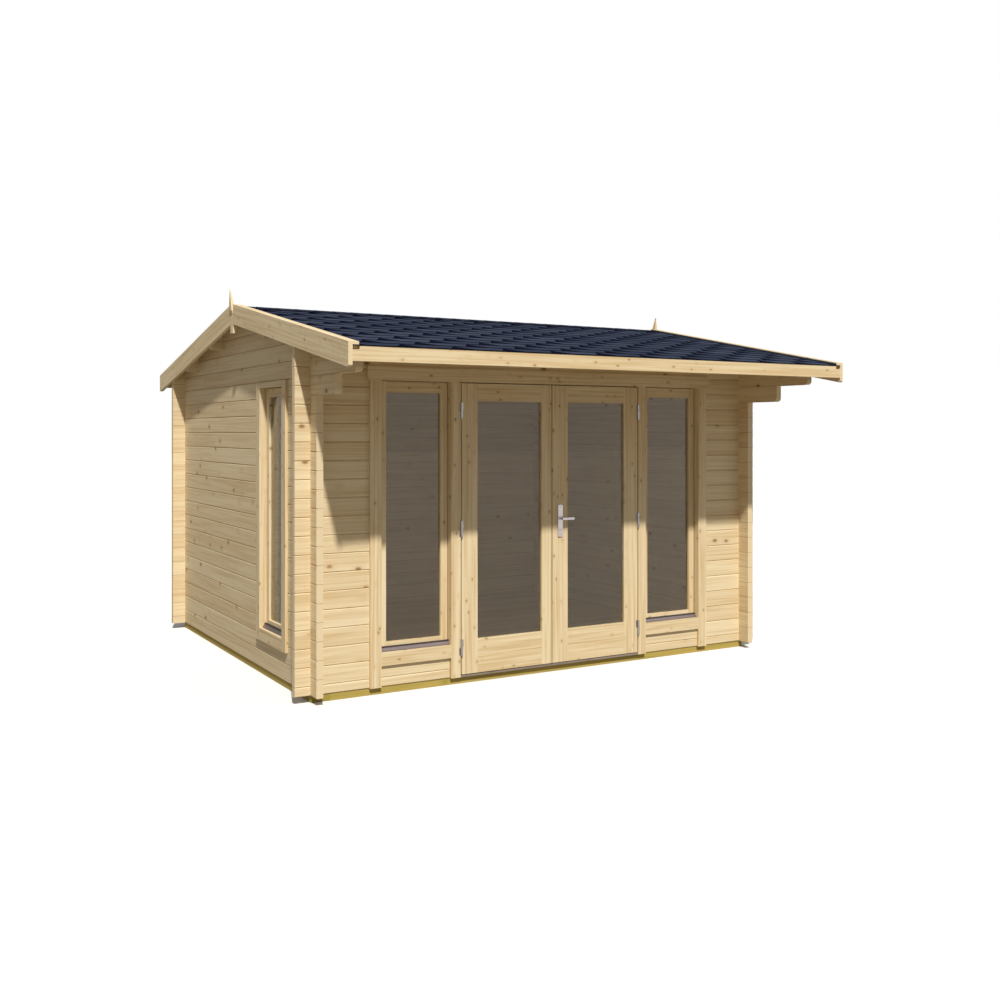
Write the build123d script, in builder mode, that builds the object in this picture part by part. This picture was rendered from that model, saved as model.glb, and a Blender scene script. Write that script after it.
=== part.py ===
from build123d import *
import math
import os

# A garden cabin of squared logs. The ridge runs along X above the origin, the doors face -Y, and the
# ground is at zero height. All lengths are in millimetres.

# Cuts run this far past the wood they pass through
overrun = 20.0

# Walls of squared logs, crossed and notched at the corners
wall_width = 3500.0
wall_depth = 3000.0
log_thickness = 44.0
log_height = 114.0
log_chamfer = 5.0
log_end_reach = 100.0
least_top_log_share = 0.35

# Courses at which the openings begin and end, counted from the lowest log
front_sill_course = 2
front_head_course = 18
side_sill_course = 2
side_head_course = 17

# Corbels: the two top courses of the side walls, run forward under the eave
lower_corbel_course = 16
upper_corbel_course = 17
corbel_setback = 180.0
corbel_step = 300.0
corbel_radius = 28.0

# Bearers and floor
beam_height = 45.0
beam_width = 80.0
beam_setback = 8.0
joist_count = 3
floor_thickness = 20.0
floor_gap = 5.0

# Roof
roof_pitch = 11.0
ridge_underside = 2501.0
front_overhang = 880.0
back_overhang = 340.0
gable_overhang = 118.0
deck_thickness = 18.0
shingle_thickness = 6.0
shingle_lip = 2.0
purlin_width = 44.0
purlin_height = 120.0
upper_purlin_share = 0.35
lower_purlin_share = 0.73
eave_purlin_setback = 80.0
eave_purlin_seat = 40.0

# Roof edges
bargeboard_thickness = 25.0
bargeboard_height = 122.0
bargeboard_corner = 12.0
cap_width = 65.0
cap_thickness = 16.0
cap_lip = 3.0
fascia_thickness = 20.0
fascia_height = 82.0
fascia_notch_width = 42.0
fascia_notch_depth = 20.0

# Finials at the two gable tips
finial_width = 60.0
finial_thickness = 28.0
finial_drop = 68.0
finial_shoulder = 33.0
finial_spire = 152.0
finial_tip_width = 4.0

# Door and window frame in the front wall, and the frame of the left window
joinery_gap = 3.0
settling_gap = 10.0
post_depth = 70.0
door_post_width = 69.0
window_post_width = 42.0
window_clear_width = 494.0
head_height = 58.0
sill_height = 45.0
stop_width = 17.0
stop_depth = 43.0
stop_gap = 2.0
threshold_lip = 18.0
threshold_height = 12.0

# Left window
side_window_middle = -534.0
side_window_clear_width = 448.0
side_head_height = 30.0
side_trim_width = 70.0
side_trim_drop = 2.0

# Trim boards
trim_thickness = 20.0
outer_trim_width = 76.0
header_trim_height = 87.0
header_trim_lip = 20.0
header_trim_thickness = 23.0
sill_trim_height = 82.0

# Sashes and drip strips of the windows
sash_setback = 30.0
sash_thickness = 40.0
sash_gap = 5.0
sash_stile_width = 48.0
sash_rail_height = 57.0
front_sash_top_rail = 69.0
drip_height = 31.0
drip_depth = 27.0
drip_nose_height = 8.0
drip_top_depth = 6.0
drip_seat = 2.0

# Glass and the groove that holds it
glass_thickness = 5.0
glass_clearance = 0.3
glass_groove_depth = 10.0
glass_edge_depth = 8.0

# Door leaves
leaf_width = 713.0
leaf_thickness = 40.0
meeting_gap = 8.0
meeting_offset = -15.0
hinge_gap = 8.0
leaf_head_gap = 7.0
leaf_floor_gap = 18.0
leaf_stile_width = 118.0
left_meeting_stile = 80.0
right_meeting_stile = 126.0
leaf_top_rail = 116.0
leaf_bottom_rail = 224.0
rail_seam_height = 112.0
rail_seam_width = 5.0
rail_seam_depth = 3.0

# Barrel hinges
hinge_inset = 178.0
barrel_radius = 7.5
barrel_length = 52.0
barrel_offset = 8.5
barrel_gap = 0.3
pin_radius = 4.0
pin_length = 30.0
pin_clearance = 0.05
pin_end_clearance = 1.0
hinge_plate_width = 16.0
hinge_plate_thickness = 2.5
hinge_plate_inset = 2.0

# Lever handle on the right leaf
lever_inset = 61.0
lever_height = 988.0
plate_width = 37.0
plate_height = 220.0
plate_thickness = 8.0
plate_drop = 15.0
plate_corner = 6.0
spindle_radius = 5.0
spindle_clearance = 0.05
lock_bore_radius = 12.0
lever_radius = 8.5
lever_clearance = 0.3
lever_stand = 42.0
lever_reach = 88.0
lever_bar_height = 16.0
lever_bar_depth = 11.0
lever_bar_corner = 4.0

# Lines that follow from the sizes above
half_width = wall_width / 2
eave_reach = (wall_depth + front_overhang + back_overhang) / 2
front_face = front_overhang - eave_reach
back_face = eave_reach - back_overhang
upper_corbel_reach = front_overhang - corbel_setback
lower_corbel_reach = upper_corbel_reach - corbel_step
upper_purlin_reach = upper_purlin_share * back_face
lower_purlin_reach = lower_purlin_share * back_face
front_log_middle = front_face + log_thickness / 2
back_log_middle = back_face - log_thickness / 2
side_log_middle = half_width - log_thickness / 2
notch_depth = log_height / 4
notch_box_height = notch_depth + log_height / 2
top_log_height = log_height + log_height / 2
pitch_slope = math.tan(math.radians(roof_pitch))
pitch_stretch = 1 / math.cos(math.radians(roof_pitch))
deck_rise = deck_thickness * pitch_stretch
shingle_rise = shingle_thickness * pitch_stretch
cap_rise = cap_thickness * pitch_stretch
barge_outer = half_width + gable_overhang
barge_inner = barge_outer - bargeboard_thickness
deck_end = eave_reach - fascia_thickness
eave_purlin_middle = front_face - upper_corbel_reach + eave_purlin_setback
ridge_top = ridge_underside + deck_rise + shingle_rise


def underside(y):
    """Height of the roof deck's underside at a distance from the ridge."""
    return ridge_underside - abs(y) * pitch_slope


def long_course_bottom(course):
    """Bottom of a log in the front or back wall, half a course off the side walls."""
    return beam_height + (course - 1 / 2) * log_height


def side_course_bottom(course):
    """Bottom of a log in a side wall."""
    return beam_height + course * log_height


def top_course(lowest_bottom, roof_height):
    """Course of the top log, which runs from its joint up to the roof."""
    return math.floor((roof_height - lowest_bottom) / log_height - least_top_log_share)


front_top_course = top_course(long_course_bottom(0), underside(front_face))
back_top_course = top_course(long_course_bottom(0), underside(back_face))
gable_top_course = top_course(side_course_bottom(0), ridge_underside)

# Heights of the openings and of the frames in them
opening_bottom = long_course_bottom(front_sill_course)
opening_top = long_course_bottom(front_head_course)
head_top = opening_top - settling_gap
head_bottom = head_top - head_height
sill_top = opening_bottom + sill_height
side_opening_bottom = side_course_bottom(side_sill_course)
side_opening_top = side_course_bottom(side_head_course)
side_head_top = side_opening_top - settling_gap
side_head_bottom = side_head_top - side_head_height
side_sill_top = side_opening_bottom + sill_height

# Lines along the front wall, from the middle outward
left_leaf_edge = meeting_offset - meeting_gap / 2
right_leaf_edge = meeting_offset + meeting_gap / 2
leaf_outer = meeting_gap / 2 + leaf_width
door_half = leaf_outer + hinge_gap
window_inner = door_half + door_post_width
window_outer = window_inner + window_clear_width
frame_half = window_outer + window_post_width
opening_half = frame_half + joinery_gap
trim_half = window_outer + outer_trim_width
window_middle = (window_inner + window_outer) / 2

# Door leaf heights and depth
leaf_bottom = beam_height + leaf_floor_gap
leaf_top = head_bottom - leaf_head_gap
leaf_back = trim_thickness - leaf_thickness

# Hinge axis and lever axis
hinge_x = leaf_outer + hinge_gap / 2
hinge_y = front_face - trim_thickness - barrel_offset
hinge_heights = [leaf_bottom + hinge_inset, (leaf_bottom + leaf_top) / 2, leaf_top - hinge_inset]
lever_x = right_leaf_edge + lever_inset
lever_z = leaf_bottom + lever_height

# Wall planes: x runs along the wall, y is height, z points out of the wall's outer face
front_plane = Plane(origin=(0, front_face, 0), x_dir=(1, 0, 0), z_dir=(0, -1, 0))
left_plane = Plane(origin=(-half_width, 0, 0), x_dir=(0, -1, 0), z_dir=(-1, 0, 0))

# Space above the roof's underside, which trims the tops of the wall logs
with BuildPart() as roof_space:
    with BuildSketch(Plane.YZ):
        with BuildLine():
            Polyline(
                (-eave_reach, underside(eave_reach)),
                (0, ridge_underside),
                (eave_reach, underside(eave_reach)),
                (eave_reach, ridge_underside + top_log_height),
                (-eave_reach, ridge_underside + top_log_height),
                close=True,
            )
        make_face()
    extrude(amount=barge_outer, both=True)

# Purlins as (distance from the ridge, height of the underside)
purlin_seats = [
    (-upper_purlin_reach, underside(upper_purlin_reach) - purlin_height),
    (upper_purlin_reach, underside(upper_purlin_reach) - purlin_height),
    (lower_purlin_reach, underside(lower_purlin_reach) - purlin_height),
    (eave_purlin_middle, side_course_bottom(upper_corbel_course + 1) - eave_purlin_seat),
]
ridge_purlin_bottom = ridge_underside - purlin_height


def long_wall_logs(log_middle, last_course, first_course):
    """Every second log of the front or back wall, whole from end to end, notched at both corners.

    The long edges of the outer face are chamfered, so each joint shows as a small V.
    """
    courses = range(first_course, last_course + 1, 2)
    with BuildPart() as logs:
        for course in courses:
            low = max(long_course_bottom(course), beam_height)
            high = long_course_bottom(course) + (top_log_height if course == last_course else log_height)
            # The top log stops behind the bargeboards
            log_end = barge_inner if course == last_course else half_width + log_end_reach
            with BuildSketch(Plane.YZ.offset(-log_end)):
                with Locations((log_middle, (low + high) / 2)):
                    Rectangle(log_thickness, high - low)
                chamfer(vertices().group_by(Axis.X)[0 if log_middle < 0 else -1], log_chamfer)
            extrude(amount=2 * log_end)
        notch_heights = [long_course_bottom(course) + notch_depth - notch_box_height / 2 for course in courses]
        notch_heights += [
            long_course_bottom(course) + log_height - notch_depth + notch_box_height / 2 for course in courses
        ]
        with Locations(*[(x, log_middle, z) for x in (-side_log_middle, side_log_middle) for z in notch_heights]):
            Box(log_thickness, log_thickness + 2 * overrun, notch_box_height, mode=Mode.SUBTRACT)
        add(roof_space.part, mode=Mode.SUBTRACT)
    return logs.part


def side_log_front_end(course):
    """Front end of a side wall log: the corbels run further out than the rest."""
    if course == lower_corbel_course:
        return front_face - lower_corbel_reach
    if course == upper_corbel_course:
        return front_face - upper_corbel_reach
    if course == upper_corbel_course + 1:
        return eave_purlin_middle + purlin_width / 2
    return front_face - log_end_reach


def side_wall_logs(side, first_course):
    """Every second log of a side wall and its gable; side is -1 on the left and 1 on the right."""
    log_middle = side * side_log_middle
    log_back_end = back_face + log_end_reach
    courses = range(first_course, gable_top_course + 1, 2)
    with BuildPart() as logs:
        for course in courses:
            low = side_course_bottom(course)
            high = low + (top_log_height if course == gable_top_course else log_height)
            with BuildSketch(Plane.XZ.offset(-log_back_end)):
                with Locations((log_middle, (low + high) / 2)):
                    Rectangle(log_thickness, high - low)
                chamfer(vertices().group_by(Axis.X)[0 if side < 0 else -1], log_chamfer)
            extrude(amount=log_back_end - side_log_front_end(course))
        notch_heights = [side_course_bottom(course) + notch_depth - notch_box_height / 2 for course in courses]
        notch_heights += [
            side_course_bottom(course) + log_height - notch_depth + notch_box_height / 2 for course in courses
        ]
        with Locations(*[(log_middle, y, z) for y in (front_log_middle, back_log_middle) for z in notch_heights]):
            Box(log_thickness + 2 * overrun, log_thickness, notch_box_height, mode=Mode.SUBTRACT)
        # The lower front corner of each corbel is rounded
        for course in set(courses) & {lower_corbel_course, upper_corbel_course}:
            corner_y = side_log_front_end(course)
            corner_z = side_course_bottom(course)
            with BuildSketch(Plane.YZ.offset(log_middle - log_thickness / 2 - overrun)):
                with Locations((corner_y + corbel_radius / 2, corner_z + corbel_radius / 2)):
                    Rectangle(corbel_radius, corbel_radius)
                with Locations((corner_y + corbel_radius, corner_z + corbel_radius)):
                    Circle(corbel_radius, mode=Mode.SUBTRACT)
            extrude(amount=log_thickness + 2 * overrun, mode=Mode.SUBTRACT)
        # Pockets for the purlins
        for middle, bottom in purlin_seats + [(0, ridge_purlin_bottom)]:
            with Locations((log_middle, middle, bottom + purlin_height)):
                Box(log_thickness + 2 * overrun, purlin_width, 2 * purlin_height, mode=Mode.SUBTRACT)
        add(roof_space.part, mode=Mode.SUBTRACT)
    return logs.part


def slope_outline(side, inner, outer, low, high):
    """Corners, in Y and Z, of a piece that lies along one roof slope between two heights above its underside."""
    return [
        (side * inner, underside(inner) + low),
        (side * outer, underside(outer) + low),
        (side * outer, underside(outer) + high),
        (side * inner, underside(inner) + high),
    ]


def glazed_frame(plane, left, right, bottom, top, left_stile, right_stile, low_rail, high_rail, depth):
    """Stiles, rails and pane of a glazed frame, grooved for the pane; the plane lies on the frame's back."""
    middle_x = (left + left_stile + right - right_stile) / 2
    pane_width = right - left - left_stile - right_stile
    pane_height = top - bottom - low_rail - high_rail
    pane_middle = (middle_x, (bottom + low_rail + top - high_rail) / 2)
    groove_width = glass_thickness + 2 * glass_clearance
    with BuildPart() as groove:
        with BuildSketch(plane.offset((depth - groove_width) / 2)):
            with Locations(pane_middle):
                Rectangle(pane_width + 2 * glass_groove_depth, pane_height + 2 * glass_groove_depth)
        extrude(amount=groove_width)
    with BuildPart() as stiles:
        with BuildSketch(plane):
            with Locations((left + left_stile / 2, (bottom + top) / 2)):
                Rectangle(left_stile, top - bottom)
            with Locations((right - right_stile / 2, (bottom + top) / 2)):
                Rectangle(right_stile, top - bottom)
        extrude(amount=depth)
        add(groove.part, mode=Mode.SUBTRACT)
    with BuildPart() as rails:
        with BuildSketch(plane):
            with Locations((middle_x, bottom + low_rail / 2)):
                Rectangle(pane_width, low_rail)
            with Locations((middle_x, top - high_rail / 2)):
                Rectangle(pane_width, high_rail)
        extrude(amount=depth)
        add(groove.part, mode=Mode.SUBTRACT)
    with BuildPart() as pane:
        with BuildSketch(plane.offset((depth - glass_thickness) / 2)):
            with Locations(pane_middle):
                Rectangle(pane_width + 2 * glass_edge_depth, pane_height + 2 * glass_edge_depth)
        extrude(amount=glass_thickness)
    return stiles.part, rails.part, pane.part


def save(part, label):
    """Name a finished piece and write it."""
    part.label = label
    export_step(part, f"parts/{label}.step")


os.makedirs("parts", exist_ok=True)

# Back wall and side walls
for name, first_course in (("odd", 0), ("even", 1)):
    save(long_wall_logs(back_log_middle, back_top_course, first_course), f"back_wall_{name}_logs")
    save(side_wall_logs(1, first_course), f"right_wall_{name}_logs")

# Left wall, cut through for its window
side_opening_width = side_window_clear_width + 2 * window_post_width + 2 * joinery_gap
for name, first_course in (("odd", 0), ("even", 1)):
    whole_logs = side_wall_logs(-1, first_course)
    with BuildPart() as left_wall_logs:
        add(whole_logs)
        with BuildSketch(left_plane.offset(-log_thickness - overrun)):
            with Locations((-side_window_middle, (side_opening_bottom + side_opening_top) / 2)):
                Rectangle(side_opening_width, side_opening_top - side_opening_bottom)
        extrude(amount=log_thickness + 2 * overrun, mode=Mode.SUBTRACT)
    save(left_wall_logs.part, f"left_wall_{name}_logs")

# Front wall, cut through for doors and windows
for name, first_course in (("odd", 0), ("even", 1)):
    whole_logs = long_wall_logs(front_log_middle, front_top_course, first_course)
    with BuildPart() as front_wall_logs:
        add(whole_logs)
        with BuildSketch(front_plane.offset(-log_thickness - overrun)):
            with Locations((0, (opening_bottom + opening_top) / 2)):
                Rectangle(2 * opening_half, opening_top - opening_bottom)
            with Locations((0, opening_bottom / 2)):
                Rectangle(2 * (window_inner + joinery_gap), opening_bottom)
        extrude(amount=log_thickness + 2 * overrun, mode=Mode.SUBTRACT)
    save(front_wall_logs.part, f"front_wall_{name}_logs")

# Bearers: two long ones under the front and back walls, cross ones under the side walls and the floor
beam_half = half_width - beam_setback
front_beam_middle = front_face + beam_setback + beam_width / 2
back_beam_middle = back_face - beam_setback - beam_width / 2
with BuildPart() as long_foundation_beams:
    with BuildSketch():
        with Locations((0, front_beam_middle), (0, back_beam_middle)):
            Rectangle(2 * beam_half, beam_width)
    extrude(amount=beam_height)
save(long_foundation_beams.part, "long_foundation_beams")

with BuildPart() as cross_foundation_beams:
    beam_spacing = (2 * beam_half - beam_width) / (joist_count + 1)
    with BuildSketch():
        with Locations((0, (front_beam_middle + back_beam_middle) / 2)):
            with GridLocations(beam_spacing, 0, joist_count + 2, 1):
                Rectangle(beam_width, back_beam_middle - front_beam_middle - beam_width)
    extrude(amount=beam_height)
save(cross_foundation_beams.part, "cross_foundation_beams")

floor_front = front_face + post_depth + floor_gap
floor_back = back_face - log_thickness - floor_gap
floor_half = half_width - log_thickness - floor_gap
with BuildPart() as floor_boards:
    with BuildSketch(Plane.XY.offset(beam_height)):
        with Locations((0, (floor_front + floor_back) / 2)):
            Rectangle(2 * floor_half, floor_back - floor_front)
    extrude(amount=floor_thickness)
save(floor_boards.part, "floor_boards")

# Purlins, let into the gables, their tops bevelled to the roof
with BuildPart() as ridge_purlin:
    with BuildSketch(Plane.YZ):
        with BuildLine():
            Polyline(
                (-purlin_width / 2, ridge_purlin_bottom),
                (purlin_width / 2, ridge_purlin_bottom),
                (purlin_width / 2, underside(purlin_width / 2)),
                (0, ridge_underside),
                (-purlin_width / 2, underside(purlin_width / 2)),
                close=True,
            )
        make_face()
    extrude(amount=barge_inner, both=True)
save(ridge_purlin.part, "ridge_purlin")

with BuildPart() as purlins:
    for middle, bottom in purlin_seats:
        low_side = middle - purlin_width / 2
        high_side = middle + purlin_width / 2
        with BuildSketch(Plane.YZ):
            with BuildLine():
                Polyline(
                    (low_side, bottom),
                    (high_side, bottom),
                    (high_side, underside(high_side)),
                    (low_side, underside(low_side)),
                    close=True,
                )
            make_face()
        extrude(amount=barge_inner, both=True)
save(purlins.part, "purlins")

# Roof deck and the layer of shingles on it, which reaches a little past the fascia
for name, side in (("front", -1), ("back", 1)):
    with BuildPart() as roof_deck:
        with BuildSketch(Plane.YZ):
            with BuildLine():
                Polyline(*slope_outline(side, 0, deck_end, 0, deck_rise), close=True)
            make_face()
        extrude(amount=barge_inner, both=True)
    save(roof_deck.part, f"{name}_roof_deck")
    with BuildPart() as shingles:
        with BuildSketch(Plane.YZ):
            with BuildLine():
                Polyline(
                    *slope_outline(side, 0, eave_reach + shingle_lip, deck_rise, deck_rise + shingle_rise),
                    close=True,
                )
            make_face()
        extrude(amount=barge_inner, both=True)
    save(shingles.part, f"{name}_shingles")

# Bargeboards butt against the finial at the ridge and end in a plumb cut with a clipped corner
roof_rise = deck_rise + shingle_rise
for name, side in (("left", -1), ("right", 1)):
    board_low = roof_rise - bargeboard_height
    with BuildPart() as bargeboards:
        for slope in (-1, 1):
            with BuildSketch(Plane.YZ.offset(side * barge_inner)):
                with BuildLine():
                    Polyline(*slope_outline(slope, finial_width / 2, eave_reach, board_low, roof_rise), close=True)
                make_face()
                lowest = vertices().sort_by(Axis.Y)[0]
                chamfer(lowest, bargeboard_corner)
            extrude(amount=side * bargeboard_thickness)
    save(bargeboards.part, f"{name}_bargeboards")

# Cap strips lie on the bargeboards and the edge of the shingles
with BuildPart() as cap_strips:
    for side in (-1, 1):
        for slope in (-1, 1):
            with BuildSketch(Plane.YZ.offset(side * (barge_outer + cap_lip))):
                with BuildLine():
                    Polyline(
                        *slope_outline(slope, finial_width / 2, eave_reach, roof_rise, roof_rise + cap_rise),
                        close=True,
                    )
                make_face()
            extrude(amount=-side * cap_width)
save(cap_strips.part, "cap_strips")

# Fascia boards close the deck ends at the eaves; their ends are notched under the cap strips
with BuildPart() as fascias:
    for slope in (-1, 1):
        fascia_bottom = underside(eave_reach) + deck_rise - fascia_height
        with BuildSketch(Plane.YZ):
            with BuildLine():
                Polyline(
                    (slope * deck_end, fascia_bottom),
                    (slope * eave_reach, fascia_bottom),
                    (slope * eave_reach, underside(eave_reach) + deck_rise),
                    (slope * deck_end, underside(deck_end) + deck_rise),
                    close=True,
                )
            make_face()
        extrude(amount=barge_inner, both=True)
        notch_middle = barge_inner - fascia_notch_width / 2
        notch_bottom = underside(eave_reach) + deck_rise - fascia_notch_depth
        with Locations(*[
            (side * notch_middle, slope * (deck_end + eave_reach) / 2, notch_bottom + fascia_notch_depth)
            for side in (-1, 1)
        ]):
            Box(
                fascia_notch_width,
                fascia_thickness + 2 * overrun,
                2 * fascia_notch_depth,
                mode=Mode.SUBTRACT,
            )
save(fascias.part, "fascias")

# Finials: a post between the bargeboards, with a pointed spire above the ridge
finial_bottom = ridge_top - bargeboard_height - finial_drop
shoulder_height = ridge_top - finial_shoulder
with BuildPart() as gable_finials:
    for side in (-1, 1):
        with BuildSketch(Plane.XY.offset(finial_bottom)):
            with Locations((side * (barge_inner + barge_outer) / 2, 0)):
                Rectangle(bargeboard_thickness, finial_width)
        extrude(amount=shoulder_height - finial_bottom)
        spire_middle = side * (barge_inner + finial_thickness / 2)
        with BuildSketch(Plane.XY.offset(shoulder_height)):
            with Locations((spire_middle, 0)):
                Rectangle(finial_thickness, finial_width)
        with BuildSketch(Plane.XY.offset(shoulder_height + finial_spire)):
            with Locations((spire_middle, 0)):
                Rectangle(finial_tip_width, finial_tip_width)
        loft()
save(gable_finials.part, "gable_finials")

# Frame posts: one each side of the doors, one at the outer side of each window
door_post_middle = (door_half + window_inner) / 2
window_post_middle = window_outer + window_post_width / 2
side_post_offset = (side_window_clear_width + window_post_width) / 2
with BuildPart() as door_posts:
    with BuildSketch(front_plane):
        with Locations(*[(side * door_post_middle, (beam_height + head_bottom) / 2) for side in (-1, 1)]):
            Rectangle(door_post_width, head_bottom - beam_height)
    extrude(amount=-post_depth)
save(door_posts.part, "door_posts")

with BuildPart() as window_posts:
    with BuildSketch(front_plane):
        with Locations(*[(side * window_post_middle, (opening_bottom + head_bottom) / 2) for side in (-1, 1)]):
            Rectangle(window_post_width, head_bottom - opening_bottom)
    extrude(amount=-post_depth)
    with BuildSketch(left_plane):
        with Locations(*[
            (side * side_post_offset - side_window_middle, (side_opening_bottom + side_head_bottom) / 2)
            for side in (-1, 1)
        ]):
            Rectangle(window_post_width, side_head_bottom - side_opening_bottom)
    extrude(amount=-post_depth)
save(window_posts.part, "window_posts")

with BuildPart() as window_heads:
    with BuildSketch(front_plane):
        with Locations((0, (head_bottom + head_top) / 2)):
            Rectangle(2 * frame_half, head_height)
    extrude(amount=-post_depth)
    with BuildSketch(left_plane):
        with Locations((-side_window_middle, (side_head_bottom + side_head_top) / 2)):
            Rectangle(side_window_clear_width + 2 * window_post_width, side_head_height)
    extrude(amount=-post_depth)
save(window_heads.part, "window_heads")

with BuildPart() as window_sills:
    with BuildSketch(front_plane):
        with Locations(*[(side * window_middle, opening_bottom + sill_height / 2) for side in (-1, 1)]):
            Rectangle(window_clear_width, sill_height)
    extrude(amount=-post_depth)
    with BuildSketch(left_plane):
        with Locations((-side_window_middle, side_opening_bottom + sill_height / 2)):
            Rectangle(side_window_clear_width, sill_height)
    extrude(amount=-post_depth)
save(window_sills.part, "window_sills")

# Stops behind the door leaves, on the posts and under the head
stop_plane = front_plane.offset(-post_depth)
stop_top = head_bottom - stop_width - stop_gap
stop_bottom = beam_height + floor_thickness
with BuildPart() as door_stops:
    with BuildSketch(stop_plane):
        with Locations(*[(side * (door_half - stop_width / 2), (stop_bottom + stop_top) / 2) for side in (-1, 1)]):
            Rectangle(stop_width, stop_top - stop_bottom)
        with Locations((0, head_bottom - stop_width / 2)):
            Rectangle(2 * door_half, stop_width)
    extrude(amount=stop_depth)
save(door_stops.part, "door_stops")

# Stepped threshold between the door posts
with BuildPart() as threshold:
    with BuildSketch(Plane.YZ.offset(-door_half)):
        with BuildLine():
            Polyline(
                (front_face - threshold_lip, beam_height),
                (front_face + post_depth, beam_height),
                (front_face + post_depth, beam_height + floor_thickness),
                (front_face + post_depth - stop_depth, beam_height + floor_thickness),
                (front_face + post_depth - stop_depth, beam_height + threshold_height),
                (front_face - threshold_lip, beam_height + threshold_height),
                close=True,
            )
        make_face()
    extrude(amount=2 * door_half)
save(threshold.part, "threshold")

# Trim boards on the outside: upright ones on the posts, then header, sill boards and the left window's rails
outer_trim_middle = window_outer + outer_trim_width / 2
side_trim_offset = (side_window_clear_width + side_trim_width) / 2
side_trim_bottom = side_sill_top - sill_trim_height
side_trim_top = side_opening_top - side_trim_drop
with BuildPart() as trim_posts:
    with BuildSketch(front_plane):
        with Locations(*[(side * door_post_middle, (beam_height + head_bottom) / 2) for side in (-1, 1)]):
            Rectangle(door_post_width, head_bottom - beam_height)
        with Locations(*[(side * outer_trim_middle, (beam_height + head_bottom) / 2) for side in (-1, 1)]):
            Rectangle(outer_trim_width, head_bottom - beam_height)
    extrude(amount=trim_thickness)
    with BuildSketch(left_plane):
        with Locations(*[
            (side * side_trim_offset - side_window_middle, (side_trim_bottom + side_trim_top) / 2)
            for side in (-1, 1)
        ]):
            Rectangle(side_trim_width, side_trim_top - side_trim_bottom)
    extrude(amount=trim_thickness)
save(trim_posts.part, "trim_posts")

side_top_trim_height = side_trim_top - side_head_bottom
side_low_trim_height = side_sill_top - side_trim_bottom
with BuildPart() as trim_rails:
    with BuildSketch(front_plane):
        with Locations((0, head_bottom + header_trim_height / 2)):
            Rectangle(2 * (trim_half + header_trim_lip), header_trim_height)
    extrude(amount=header_trim_thickness)
    with BuildSketch(front_plane):
        with Locations(*[(side * window_middle, sill_top - sill_trim_height / 2) for side in (-1, 1)]):
            Rectangle(window_clear_width, sill_trim_height)
    extrude(amount=trim_thickness)
    with BuildSketch(left_plane):
        with Locations((-side_window_middle, side_trim_top - side_top_trim_height / 2)):
            Rectangle(side_window_clear_width, side_top_trim_height)
        with Locations((-side_window_middle, side_sill_top - side_low_trim_height / 2)):
            Rectangle(side_window_clear_width, side_low_trim_height)
    extrude(amount=trim_thickness)
save(trim_rails.part, "trim_rails")

# Sashes with their panes, set back between the posts, each standing on its sill
sash_back = -sash_setback - sash_thickness
side_window_left = -side_window_middle - side_window_clear_width / 2
side_window_right = -side_window_middle + side_window_clear_width / 2
sash_places = [
    (front_plane, -window_outer, -window_inner, sill_top, head_bottom, front_sash_top_rail),
    (front_plane, window_inner, window_outer, sill_top, head_bottom, front_sash_top_rail),
    (left_plane, side_window_left, side_window_right, side_sill_top, side_head_bottom, sash_rail_height),
]
sashes = [
    glazed_frame(
        plane.offset(sash_back),
        left + sash_gap,
        right - sash_gap,
        bottom,
        top - sash_gap,
        sash_stile_width,
        sash_stile_width,
        sash_rail_height,
        top_rail,
        sash_thickness,
    )
    for plane, left, right, bottom, top, top_rail in sash_places
]
with BuildPart() as window_sash_stiles:
    add([stiles for stiles, rails, pane in sashes])
save(window_sash_stiles.part, "window_sash_stiles")

with BuildPart() as window_sash_rails:
    add([rails for stiles, rails, pane in sashes])
save(window_sash_rails.part, "window_sash_rails")

with BuildPart() as window_glass:
    add([pane for stiles, rails, pane in sashes])
save(window_glass.part, "window_glass")

# Metal drip strips in front of the bottom rails
with BuildPart() as drip_strips:
    for plane, left, right, bottom, top, top_rail in sash_places:
        strip_start = plane.from_local_coords((left, bottom, -sash_setback))
        strip_end = Plane(origin=strip_start, x_dir=plane.z_dir, z_dir=plane.x_dir)
        with BuildSketch(strip_end):
            with BuildLine():
                Polyline(
                    (0, -drip_seat),
                    (0, -drip_height),
                    (drip_top_depth, -drip_height),
                    (drip_depth, -drip_nose_height),
                    (drip_depth, -drip_seat),
                    close=True,
                )
            make_face()
        extrude(amount=right - left)
save(drip_strips.part, "drip_strips")

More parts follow.
